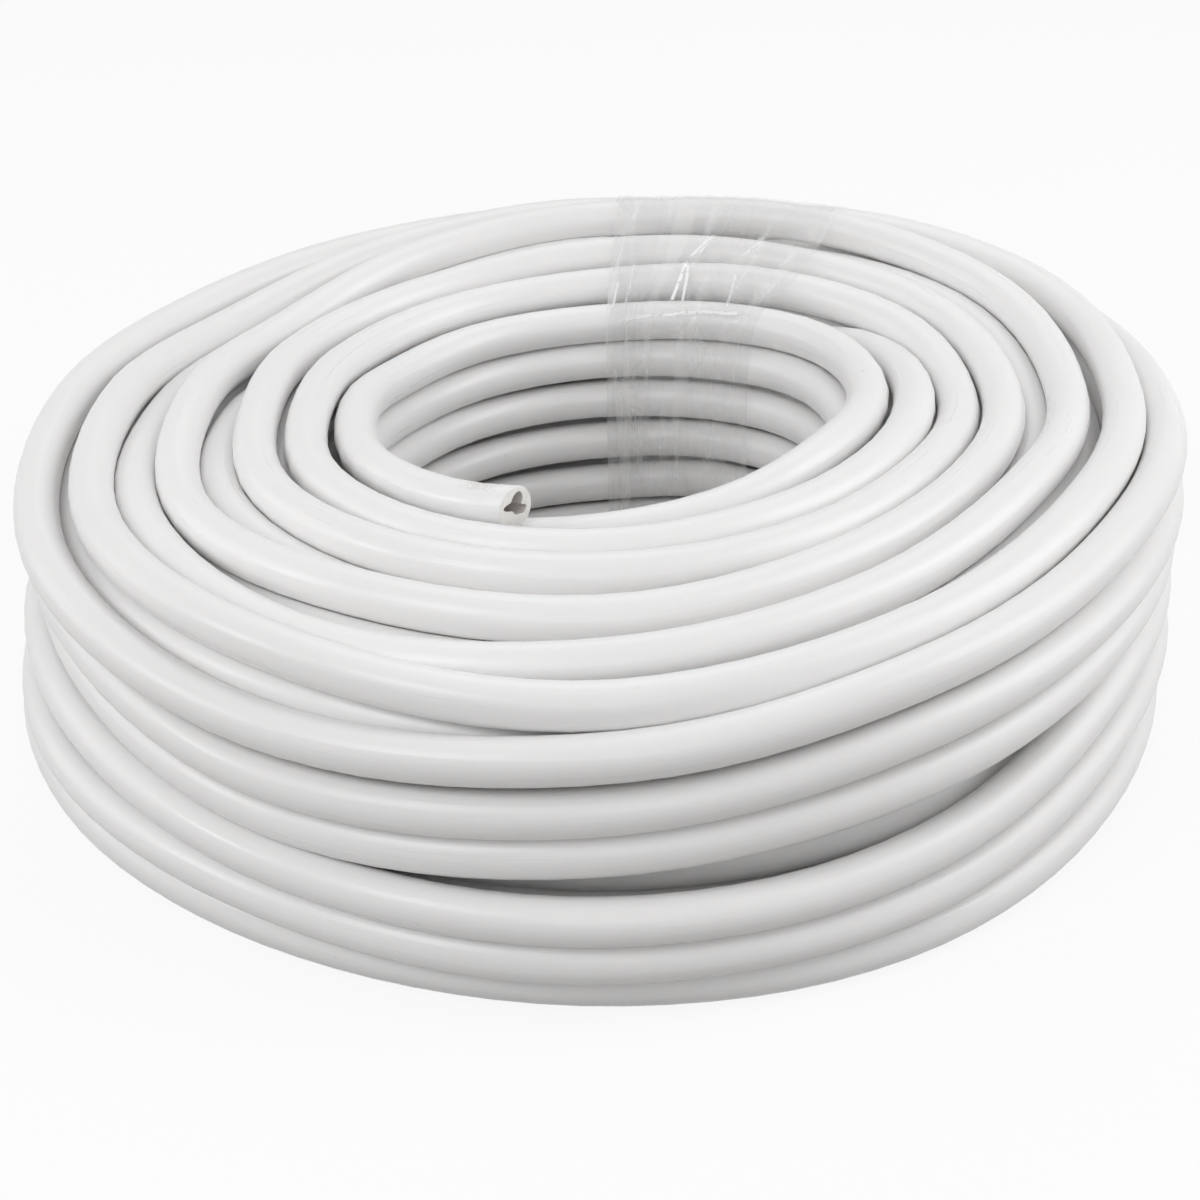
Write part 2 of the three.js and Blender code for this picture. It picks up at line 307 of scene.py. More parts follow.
    @staticmethod
    def smooth(values: np.ndarray, steps: int) -> np.ndarray:
        """A Catmull-Rom line through values.

        Args:
            values: the places passed, one row each.
            steps: points on the line for each place.

        Returns:
            the places on the line.
        """
        ends = np.vstack([2 * values[0] - values[1], values, 2 * values[-1] - values[-2]])
        t = (np.arange(steps) / steps)[:, None]
        made = []
        for a, b, c, d in zip(ends, ends[1:], ends[2:], ends[3:]):
            slope, bend, twist = c - a, 2 * a - 5 * b + 4 * c - d, 3 * b - a - 3 * c + d
            made.append(0.5 * (2 * b + slope * t + bend * t**2 + twist * t**3))
        return np.vstack([*made, values[-1][None]])

    def settle(self) -> None:
        """Lays the hose: strands that meet press each other apart until all lie side by side."""
        knots = self.knots()
        wished = self.smooth(np.array([(knot.radius, knot.height) for knot in knots]), self.steps)
        kinds = np.array([(knot.strand.pull, knot.strand.give) for knot in knots])
        kinds = np.repeat(kinds, self.steps, axis=0)[: len(wished)]
        pull, give = kinds[:, :1], kinds[:, 1]
        turns = math.ceil(len(wished) / self.turn)
        spare = turns * self.turn - len(wished)
        gives = np.concatenate([give, np.ones(spare)]).reshape(turns, self.turn)
        share = gives[:, None] / (gives[:, None] + gives[None])
        own = np.arange(turns)
        places = wished.copy()
        for _ in range(self.rounds):
            laid = np.vstack([places, np.full((spare, 2), FAR_OFF)]).reshape(turns, self.turn, 2)
            apart = laid[:, None] - laid[None]
            far = np.sqrt((apart**2).sum(-1)) + TINY
            far[own, own] = FAR_OFF
            press = np.maximum(self.touch - far, 0) * share / far
            places += self.push * (press[..., None] * apart).sum(1).reshape(-1, 2)[: len(places)]
            places += self.draw * pull * (wished - places)
            # each place's move is evened out with its neighbours' along the hose
            off = places - wished
            off[1:-1] = 0.5 * off[1:-1] + 0.25 * (off[:-2] + off[2:])
            places = wished + off
            places[:, 1] = np.maximum(places[:, 1], ON_FLOOR)
        self.places = places

    def angle(self, index: np.ndarray) -> np.ndarray:
        """The angles round the axis, in degrees, of places by their numbers."""
        return FREE_END_ON[0] - STATION / self.steps * index

    def section(self, angle: float) -> np.ndarray:
        """Every strand that passes an angle.

        Args:
            angle: degrees round the axis.

        Returns:
            radius and height of each strand there.
        """
        first = ((FREE_END_ON[0] - angle) % 360) / STATION * self.steps
        at = np.arange(first, len(self.places) - 1, self.turn)
        return picked(at, np.arange(len(self.places)), self.places)

    def centreline(self, step: float, tip: Sequence[Triple]) -> np.ndarray:
        """The hose's centre line in metres, its points evenly apart.

        Args:
            step: distance between points, in hose diameters.
            tip: angle, radius and height of the places before the first station, the end first.

        Returns:
            the points, from the free end on.
        """
        angles = np.concatenate([[place[0] for place in tip], self.angle(np.arange(len(self.places)))])
        places = np.vstack([[place[1:] for place in tip], self.places])
        fine = self.smooth(turned(places, angles), self.finer)
        run = runs(fine)
        even = np.linspace(0, run[-1], round(run[-1] / step) + 1)
        return picked(even, run, fine) * HOSE + np.array(AXIS)


class Sock:
    """One value in a node tree, on which Python's operators add Math nodes."""

    def __init__(self, graph: "Graph", socket: Any) -> None:
        """Keeps the socket and the graph that it is in."""
        self.graph, self.socket = graph, socket

    def math(self, operation: str, *others: Any, clamp: bool = False) -> "Sock":
        """A Math node on this value and others, which are numbers or Socks."""
        settings = {"operation": operation, "use_clamp": clamp}
        return self.graph.node("ShaderNodeMath", settings, dict(enumerate((self, *others))))[0]

    def __add__(self, other: Any) -> "Sock":
        """This value and another."""
        return self.math("ADD", other)

    __radd__ = __add__

    def __sub__(self, other: Any) -> "Sock":
        """This value less another."""
        return self.math("SUBTRACT", other)

    def __rsub__(self, other: float) -> "Sock":
        """A number less this value."""
        return (self * -1.0) + other

    def __mul__(self, other: Any) -> "Sock":
        """This value times another."""
        return self.math("MULTIPLY", other)

    __rmul__ = __mul__

    def __pow__(self, other: Any) -> "Sock":
        """This value to a power."""
        return self.math("POWER", other)

    def step(self, low: float, high: float) -> "Sock":
        """0 below low, 1 above high and a smooth rise between."""
        values = {0: self, "From Min": low, "From Max": high, "To Min": 0.0, "To Max": 1.0}
        return self.graph.node("ShaderNodeMapRange", {"interpolation_type": "SMOOTHSTEP"}, values)[0]

    def clamped(self) -> "Sock":
        """This value kept between 0 and 1."""
        return self.math("ADD", 0.0, clamp=True)


class Graph:
    """A material's or the world's node tree, emptied and built by expressions."""

    def __init__(self, tree: bpy.types.NodeTree) -> None:
        """Empties the tree and keeps it."""
        self.tree = tree
        tree.nodes.clear()

    def node(
        self, kind: str, settings: dict[str, Any] | None = None, values: dict[Any, Any] | None = None
    ) -> list[Sock]:
        """Adds a node.

        Args:
            kind: the node's type.
            settings: its own settings, which are set first.
            values: a number, colour or Sock for each input, by name or number.

        Returns:
            its outputs, the visible ones in order.
        """
        made = self.tree.nodes.new(kind)
        for name, value in (settings or {}).items():
            setattr(made, name, value)
        for name, value in (values or {}).items():
            if isinstance(value, Sock):
                self.tree.links.new(value.socket, made.inputs[name])
            else:
                made.inputs[name].default_value = value
        return [Sock(self, output) for output in made.outputs if output.enabled]

    def coordinates(self, which: Follow) -> Sock:
        """The coordinates that a pattern follows."""
        return self.node("ShaderNodeTexCoord")[which]

    def noise(
        self, vector: Sock, scale: float, detail: float = 2.0, roughness: float = 0.5, distortion: float = 0.0
    ) -> Sock:
        """Soft cloudy values between 0 and 1.

        Args:
            vector: the coordinates that they follow.
            scale: how many clouds there are to a unit.
            detail: how many finer layers are added.
            roughness: how strong the finer layers are.
            distortion: how much the clouds are warped.

        Returns:
            the values.
        """
        values = {"Vector": vector, "Scale": scale, "Detail": detail}
        values |= {"Roughness": roughness, "Distortion": distortion}
        return self.node("ShaderNodeTexNoise", {"noise_dimensions": "3D"}, values)[0]

    def streaks(self, vector: Sock, scale: Triple, turn: float = 0.0, **clouds: float) -> Sock:
        """Cloudy values with a scale of their own along each axis.

        Args:
            vector: the coordinates that they follow.
            scale: how many clouds there are to a unit, along each axis.
            turn: how far the pattern is turned about the third axis, in radians.
            clouds: detail, roughness and distortion, as for noise.

        Returns:
            the values.
        """
        mapping = {"Vector": vector, "Scale": scale, "Rotation": (0.0, 0.0, turn)}
        return self.noise(self.node("ShaderNodeMapping", None, mapping)[0], 1.0, **clouds)

    def mixed(self, factor: Any, first: Any, second: Any) -> Sock:
        """A colour between two others.

        Args:
            factor: the second colour's share, a number or Sock.
            first: one colour, as three numbers or a Sock.
            second: the other.

        Returns:
            the colour.
        """
        settings = {"data_type": "RGBA", "blend_type": "MIX"}
        ends = [value if isinstance(value, Sock) else (*value, 1.0) for value in (first, second)]
        return self.node("ShaderNodeMix", settings, {0: factor, 6: ends[0], 7: ends[1]})[0]

    def along(self, vector: Sock, direction: Triple) -> Sock:
        """How far a place lies along a direction."""
        return self.node("ShaderNodeVectorMath", {"operation": "DOT_PRODUCT"}, {0: vector, 1: direction})[0]

    def bumped(self, height: Sock, distance: float, strength: float) -> Sock:
        """A normal that follows a height pattern."""
        values = {"Height": height, "Distance": distance, "Strength": strength}
        return self.node("ShaderNodeBump", None, values)[0]

    def surface(self, values: dict[str, Any]) -> Sock:
        """A Principled surface."""
        return self.node("ShaderNodeBsdfPrincipled", None, values)[0]

    def background_seen(self) -> Sock:
        """1 for a ray that shows the background, straight, in gloss or through glass, and 0 for others."""
        path = self.node("ShaderNodeLightPath")
        return (path[Ray.CAMERA] + path[Ray.GLOSSY] + path[Ray.TRANSMISSION]).clamped()

    def between(self, share: Sock, first: Sock, second: Sock) -> Sock:
        """A shader between two others, by the second's share."""
        return self.node("ShaderNodeMixShader", None, {0: share, 1: first, 2: second})[0]

    def finish(self, shader: Sock) -> None:
        """Shows a shader as the material's surface."""
        self.node("ShaderNodeOutputMaterial", None, {"Surface": shader})


def material(name: str) -> tuple[bpy.types.Material, Graph]:
    """A new material and its empty graph.

    Args:
        name: the material's name.

    Returns:
        the material and the graph.
    """
    made = bpy.data.materials.new(name)
    made.use_nodes = True
    return made, Graph(made.node_tree)


@dataclass(frozen=True)
class HosePlastic:
    """Satin white plastic: faintly cloudy, drawn along its length, with a few handling marks."""

    white: Triple = (0.925, 0.917, 0.910)
    shaded: Triple = (0.900, 0.890, 0.880)
    rubbed: Triple = (0.55, 0.50, 0.43)
    roughness: float = 0.30
    cloud_scale: float = 9.0
    drawn_scale: Triple = (26.0, 9.0, 1.0)
    speck_scale: float = 170.0
    smear_scale: Triple = (7.0, 70.0, 1.0)
    grain_scale: float = 900.0
    speck_strength: float = 0.25
    smear_strength: float = 0.16
    thumbed_strength: float = 0.45
    thumbed_at: float = 0.012  # metres from the cut end
    thumbed_half: Pair = (0.003, 0.010)  # metres from its middle, where it starts to fade and where it ends
    thumbed_turn: float = 0.02  # of a whole turn from the top

    def made(self) -> bpy.types.Material:
        """The material.

        Returns:
            the finished material.
        """
        result, graph = material("satin_white_hose")
        place = graph.coordinates(Follow.OBJECT)
        skin = graph.coordinates(Follow.UV)
        cloud = graph.noise(place, self.cloud_scale, 3.0)
        drawn = graph.streaks(skin, self.drawn_scale, detail=3.0, roughness=0.6)
        specks = graph.noise(place, self.speck_scale, 2.0, 0.7).step(0.75, 0.80)
        smears = graph.streaks(skin, self.smear_scale).step(0.70, 0.90)
        grain = graph.noise(place, self.grain_scale)
        turn = (graph.along(skin, (1.0, 0.0, 0.0)) - self.thumbed_turn) * (2 * math.pi)
        above = turn.math("COSINE").step(0.80, 0.97)
        away = (graph.along(skin, (0.0, 1.0, 0.0)) - self.thumbed_at).math("ABSOLUTE")
        thumbed = above * (1.0 - away.step(*self.thumbed_half)) * grain.step(0.35, 0.6)
        worn = specks * self.speck_strength + smears * self.smear_strength
        marks = (worn + thumbed * self.thumbed_strength).clamped()
        tone = graph.mixed(cloud.step(0.3, 0.75), self.white, self.shaded)
        rough = (drawn - 0.5) * 0.14 + (cloud - 0.5) * 0.08 + marks * 0.2 + self.roughness
        height = drawn * 0.7 + grain * 0.08
        graph.finish(
            graph.surface(
                {
                    "Base Color": graph.mixed(marks, tone, self.rubbed),
                    "Roughness": rough,
                    "Normal": graph.bumped(height, 0.0003, 0.5),
                    "IOR": 1.5,
                    "Specular IOR Level": 0.5,
                    "Subsurface Weight": 0.4,
                    "Subsurface Radius": (1.0, 0.9, 0.8),
                    "Subsurface Scale": 0.004,
                }
            )
        )
        return result


@dataclass(frozen=True)
class CutPlastic:
    """The sawn end and the bore: the same plastic, duller and creamier; in the bore it is darkened with
    painted shade.
    """

    name: str
    # the main colour: creamy on the sawn face, painted shade in the bore
    cream_and_shade: Triple
    # the stains' colour, in the bore darkened with painted shade as well
    deep: Triple
    roughness: float
    stained: float = 0.25
    grain_scale: float = 1400.0
    stain_scale: float = 260.0

    def made(self) -> bpy.types.Material:
        """The material.

        Returns:
            the finished material.
        """
        result, graph = material(self.name)
        place = graph.coordinates(Follow.OBJECT)
        grain = graph.noise(place, self.grain_scale, 3.0, 0.7)
        stain = graph.noise(place, self.stain_scale, 3.0, 0.6).step(0.45, 0.75)
        graph.finish(
            graph.surface(
                {
                    "Base Color": graph.mixed(stain * self.stained, self.cream_and_shade, self.deep),
                    "Roughness": (grain - 0.5) * 0.2 + self.roughness,
                    "Normal": graph.bumped(grain, 0.0002, 0.6),
                    "Specular IOR Level": 0.3,
                }
            )
        )
        return result


@dataclass(frozen=True)
class CreaseGlint:
    """One bright line in the film, partly its own whitened fold and partly a painted glint of light, measured
    in metres across the film and along it.
    """

    start: Pair
    end: Pair
    half_width: float
    strength: float
    core: float = 0.3  # the share of its width that is bright all over
    past: float = 0.001  # how far it fades beyond its ends
    fade: float = 0.004  # how far it fades inside them

    def drawn(self, graph: Graph, band: Sock, wander: Sock) -> Sock:
        """How bright the line and its painted glint are at a place on the film.

        Args:
            graph: the film's graph.
            band: places on the film.
            wander: how far the crease strays sideways there, in metres.

        Returns:
            the brightness.
        """
        run = np.array(self.end) - np.array(self.start)
        length = float(np.linalg.norm(run))
        ahead = (float(run[0]) / length, float(run[1]) / length, 0.0)
        aside = (-ahead[1], ahead[0], 0.0)
        far = graph.along(band, ahead) - (self.start[0] * ahead[0] + self.start[1] * ahead[1])
        off = graph.along(band, aside) - (self.start[0] * aside[0] + self.start[1] * aside[1]) + wander
        line = 1.0 - off.math("ABSOLUTE").step(self.half_width * self.core, self.half_width)
        begun = far.step(-self.past, self.fade)
        ended = far.step(length - self.fade, length + self.past)
        return line * begun * (1.0 - ended) * self.strength


@dataclass(frozen=True)
class ClearFilm:
    """Thin clear stretch film: nearly unseen where it lies flat, bright along its creased lines, which carry
    painted glints of light.
    """

    smoky: Triple = (0.70, 0.695, 0.69)
    milky: Triple = (0.92, 0.915, 0.905)
    # white of the creased lines, which is also the white of their painted glints
    crease_glint: Triple = (1.0, 1.0, 1.0)
    flat_alpha: float = 0.11
    crease_glint_alpha: float = 0.85
    doubled_from: float = 0.076  # metres across the film, where a second layer starts
    doubled_edge: float = 0.002
    stray: float = 0.0016  # metres that its lines wander
    glint_strength: float = 0.22
    fold_haze: float = 0.16
    stuck_haze: float = 0.05
    doubled_haze: float = 0.08
    pleat_scale: Triple = (230.0, 12.0, 1.0)
    thread_scale: Triple = (560.0, 26.0, 1.0)
    fold_scale: Triple = (110.0, 14.0, 1.0)
    stuck_scale: Triple = (24.0, 34.0, 1.0)
    glint_scale: Triple = (34.0, 22.0, 1.0)
    broken_scale: Triple = (300.0, 300.0, 1.0)
    stray_scale: Triple = (90.0, 90.0, 1.0)
    # bright lines listed across and along the film: each partly a whitened fold and partly a painted glint
    # where the film bends over the strands
    crease_glints: tuple[CreaseGlint, ...] = (
        CreaseGlint((0.0608, 0.403), (0.0594, 0.429), 0.0016, 1.0),
        CreaseGlint((0.0535, 0.402), (0.0583, 0.428), 0.0013, 0.9),
        CreaseGlint((0.0965, 0.405), (0.0943, 0.422), 0.0014, 0.6),
        CreaseGlint((0.0890, 0.404), (0.0868, 0.431), 0.0012, 0.4),
        CreaseGlint((0.0250, 0.400), (0.0308, 0.422), 0.0012, 0.5),
        CreaseGlint((0.0592, 0.430), (0.0503, 0.448), 0.0013, 0.8),
        CreaseGlint((0.0552, 0.433), (0.0492, 0.446), 0.0010, 0.5),
        CreaseGlint((0.0318, 0.433), (0.0265, 0.449), 0.0022, 0.5),
        CreaseGlint((0.0118, 0.427), (0.0083, 0.444), 0.0011, 0.35),
        # the last two: a painted glint along the crest of the innermost top turn
        CreaseGlint((0.0900, 0.3988), (0.0640, 0.3984), 0.0008, 0.5),
        CreaseGlint((0.0660, 0.3984), (0.0120, 0.3970), 0.0013, 1.0),
    )

    @staticmethod
    def ridged(value: Sock, sharpness: float) -> Sock:
        """Thin bright lines where a cloudy value passes its middle."""
        return (1.0 - (value - 0.5).math("ABSOLUTE") * 2.0) ** sharpness

    def made(self) -> bpy.types.Material:
        """The material.

        Returns:
            the finished material.
        """
        result, graph = material("clear_stretch_film")
        band = graph.coordinates(Follow.UV)
        pleats = graph.streaks(band, self.pleat_scale, 0.10, distortion=0.3)
        threads = graph.streaks(band, self.thread_scale, -0.12, distortion=0.3)
        folds = graph.streaks(band, self.fold_scale, 0.04, distortion=0.4).step(0.42, 0.66)
        stuck = graph.streaks(band, self.stuck_scale, detail=3.0, roughness=0.6).step(0.46, 0.62)
        glinting = graph.streaks(band, self.glint_scale, 0.3).step(0.52, 0.70)
        broken = graph.streaks(band, self.broken_scale).step(0.24, 0.44)
        wander = (graph.streaks(band, self.stray_scale, detail=1.0) - 0.5) * self.stray
        # thin white lines along the pleats and threads, kept only where glinting: painted glints, with some
        # of the film's own fine creasing
        lines = self.ridged(pleats, 26.0) + self.ridged(threads, 18.0) * 0.5
        lines = lines * glinting * self.glint_strength
        for crease_glint in self.crease_glints:
            lines = lines + crease_glint.drawn(graph, band, wander) * broken
        # the white lines together with their painted glints
        bright = lines.clamped()
        ragged = graph.along(band, (1.0, 0.0, 0.0)) + wander
        doubled = ragged.step(self.doubled_from, self.doubled_from + self.doubled_edge)
        haze = folds * self.fold_haze + stuck * self.stuck_haze + doubled * self.doubled_haze
        alpha = haze + self.flat_alpha + bright * (self.crease_glint_alpha - self.flat_alpha)
        body = graph.mixed(folds, self.smoky, self.milky)
        graph.finish(
            graph.surface(
                {
                    "Base Color": graph.mixed(bright, body, self.crease_glint),
                    "Roughness": threads * 0.2 + 0.06,
                    "Alpha": alpha.clamped(),
                    "Normal": graph.bumped(folds, 0.0006, 0.4),
                    "IOR": 1.49,
                    "Specular IOR Level": 0.7,
                }
            )
        )
        return result


def shaped(patch: Patch, name: str, pattern: str) -> bpy.types.Object:
    """A smooth piece made from points and faces.

    Args:
        patch: its points, faces, finishes and places on the pattern's map.
        name: the piece's name.
        pattern: the name of the map that patterns follow.

    Returns:
        the piece, with no finish yet.
    """
    mesh = bpy.data.meshes.new(name)
    mesh.from_pydata(patch.points.tolist(), [], patch.faces)
    mesh.polygons.foreach_set("material_index", patch.finishes)
    mesh.polygons.foreach_set("use_smooth", [True] * len(patch.faces))
    mesh.uv_layers.new(name=pattern).data.foreach_set("uv", np.array(patch.uv, dtype=float).ravel())
    piece = bpy.data.objects.new(name, mesh)
    bpy.context.scene.collection.objects.link(piece)
    return piece


@dataclass(frozen=True)
class CutEnd:
    """Where one end of the hose is cut: its centre and the directions there."""

    centre: np.ndarray
    inward: np.ndarray
    up: np.ndarray
    across: np.ndarray
    edge: int  # the number of the tube's first point in its last ring
    free: bool  # the free end, at the start of the hose


@dataclass
class Hose:
    """The one length of hose: a round tube along the coil's lay, its cut ends open on the ribbed bore."""

    lay: CoilLay
    sides: int = 24
    step: float = 0.85  # from one ring of the tube to the next, in diameters
    # angle, radius and height of the free end and of two places behind it
    tip: tuple[Triple, ...] = ((252.7, 6.2, 7.38), (249.0, 6.18, 7.33), (244.5, 6.15, 7.26))
    bore_outline: tuple[Pair, ...] = (  # three lobes between three ribs: degrees from the top, radius
        (0, 0.32), (14, 0.365), (26, 0.385), (42, 0.345), (56, 0.29), (70, 0.20), (80, 0.17),
        (90, 0.25), (100, 0.34), (114, 0.325), (132, 0.295), (146, 0.19), (180, 0.145), (215, 0.11),
        (245, 0.09), (268, 0.14), (280, 0.33), (288, 0.39), (298, 0.34), (310, 0.27), (324, 0.22),
        (338, 0.235), (350, 0.285),
    )
    bore_soft: int = 4  # degrees each way over which the outline is rounded off
    worn_edge: tuple[Pair, ...] = ((0.485, -0.022), (0.455, -0.034))  # radius, and depth from the cut
    bore_sizes: tuple[Pair, ...] = ((1.0, -0.03), (0.95, 0.04), (0.93, 0.6), (0.92, 1.1))  # share, and depth
    cut_turn: float = 16.0  # degrees that the cut is out of square, sideways
    cut_lean: float = -3.0  # and backwards
    smooth_below: float = 35.0  # faces that meet by fewer degrees look like one

    def build(self) -> bpy.types.Object:
        """Returns:
            the piece.
        """
        line = self.lay.centreline(self.step, self.tip)
        piece = shaped(self.tube(line), "hose_coil", "along_hose")
        finishes = (
            HosePlastic(),
            CutPlastic("cut_cream_plastic", (0.92, 0.90, 0.86), (0.45, 0.42, 0.38), 0.62),
            # the bore's plastic is darkened with painted shade, for the shadow inside the hose
            CutPlastic("bore_painted_shade_plastic", (0.62, 0.58, 0.55), (0.33, 0.30, 0.28), 0.5),
        )
        for finish in finishes:
            piece.data.materials.append(finish.made())
        bpy.ops.object.select_all(action="DESELECT")
        piece.select_set(True)
        bpy.context.view_layer.objects.active = piece
        bpy.ops.object.shade_smooth_by_angle(angle=math.radians(self.smooth_below))
        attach(piece, "root")
        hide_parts("hose_turns", "hose_buried_turns", "hose_free_end")
        return piece

    def frames(self, line: np.ndarray) -> tuple[np.ndarray, np.ndarray, np.ndarray]:
        """The hose's own directions at each point of its centre line.

        Args:
            line: the centre line.

        Returns:
            the directions along it, up and across.
        """
        along = np.gradient(line, axis=0)
        along /= np.linalg.norm(along, axis=1)[:, None]
        up = np.array((0.0, 0.0, 1.0)) - along[:, 2:] * along
        up /= np.linalg.norm(up, axis=1)[:, None]
        return along, up, np.cross(along, up)

    def bore(self, corner: np.ndarray) -> np.ndarray:
        """The ribbed bore's distance from the hose's centre at each angle, in diameters.

        Args:
            corner: angles from the top, in radians.

        Returns:
            the distances.
        """
        angles, sizes = np.array(self.bore_outline).T
        fine = np.radians(np.arange(360))
        outline = np.interp(fine, np.radians(angles), sizes, period=2 * math.pi)
        near = range(-self.bore_soft, self.bore_soft + 1)
        soft = sum(np.roll(outline, shift) for shift in near) / len(near)
        return np.interp(corner, fine, soft, period=2 * math.pi)

    def slant(self, corner: np.ndarray) -> np.ndarray:
        """How far the sawn face leans out of square at each angle, one diameter from its middle."""
        lean, turn = math.tan(math.radians(self.cut_lean)), math.tan(math.radians(self.cut_turn))
        return lean * np.cos(corner) - turn * np.sin(corner)

    def tube(self, line: np.ndarray) -> Patch:
        """The tube with both its ends.

        Args:
            line: the centre line.

        Returns:
            its mesh.
        """
        along, up, across = self.frames(line)
        corner = np.linspace(0, 2 * math.pi, self.sides, endpoint=False)
        spoke = np.cos(corner)[None, :, None] * up[:, None] + np.sin(corner)[None, :, None] * across[:, None]
        skin = line[:, None] + 0.5 * HOSE * spoke
        skin[0] += 0.5 * HOSE * self.slant(corner)[:, None] * along[0]
        run = runs(line)
        n, m = len(line), self.sides
        made = Patch(skin.reshape(-1, 3), [], [], [])
        for i in range(n - 1):
            for j in range(m):
                k = (j + 1) % m
                made.faces.append([i * m + j, (i + 1) * m + j, (i + 1) * m + k, i * m + k])
                left, right = j / m, (j + 1) / m
                made.uv += [(left, run[i]), (left, run[i + 1]), (right, run[i + 1]), (right, run[i])]
        made.finishes = [Finish.SKIN] * len(made.faces)
        for last, inward in ((0, 1.0), (n - 1, -1.0)):
            cut = CutEnd(line[last], along[last] * inward, up[last], across[last], last * m, inward > 0)
            more = self.end(cut, len(made.points))
            made.points = np.vstack([made.points, more.points])
            made.faces += more.faces
            made.finishes += more.finishes
            made.uv += more.uv
        return made

    def end(self, cut: CutEnd, count: int) -> Patch:
        """One cut end: a narrow worn edge, the sawn face and the ribbed bore, which ends blind out of sight.

        Args:
            cut: where the end is.
            count: the number that its first new point gets.

        Returns:
            its mesh, which starts from the tube's last ring.
        """
        m = self.sides
        outer = np.linspace(0, 2 * math.pi, m, endpoint=False)
        inner = np.linspace(0, 2 * math.pi, 2 * m, endpoint=False)
        hole = self.bore(inner)

        def circle(corner: np.ndarray, size: np.ndarray | float, depth: float) -> np.ndarray:
            """A ring of points about the end's centre.

            Args:
                corner: their angles.
                size: their distance from the centre, in diameters.
                depth: how far inside the cut they lie, in diameters.

            Returns:
                the points.
            """
            reach = (np.cos(corner)[:, None] * cut.up + np.sin(corner)[:, None] * cut.across) * HOSE
            lean = self.slant(corner) * size if cut.free else 0 * corner
            deep = cut.inward * (depth + lean[:, None]) * HOSE
            return cut.centre + reach * np.reshape(size, (-1, 1)) + deep

        rings = [circle(outer, size, depth) for size, depth in self.worn_edge]
        rings += [circle(inner, hole * share, depth) for share, depth in self.bore_sizes]
        starts = [count + sum(len(r) for r in rings[:number]) for number in range(len(rings))]
        worn, rim, lip = starts[:3]
        faces = [[cut.edge + j, cut.edge + (j + 1) % m, worn + (j + 1) % m, worn + j] for j in range(m)]
        for j in range(m):
            k = (j + 1) % m
            faces.append([worn + j, worn + k, rim + k, rim + j])
            faces.append([rim + j, rim + k, lip + (2 * j + 2) % (2 * m), lip + 2 * j + 1, lip + 2 * j])
        finishes = [Finish.SKIN] * m + [Finish.CUT] * (2 * m)
        for here, there in zip(starts[2:], starts[3:]):
            for j in range(2 * m):
                k = (j + 1) % (2 * m)
                faces.append([here + j, here + k, there + k, there + j])
        faces.append([starts[-1] + j for j in range(2 * m)])
        # every face inside the bore takes the plastic darkened with painted shade
        finishes += [Finish.BORE] * (len(faces) - len(finishes))
        if not cut.free:
            faces = [face[::-1] for face in faces]
        uv = [(0.0, 0.0)] * sum(len(face) for face in faces)
        return Patch(np.vstack(rings), faces, finishes, uv)


@dataclass(frozen=True)
class Wave:
    """One wave of the gathered film: how many there are across it, how they run round, height and offset."""

    count: int
    skew: float
    size: float
    offset: float


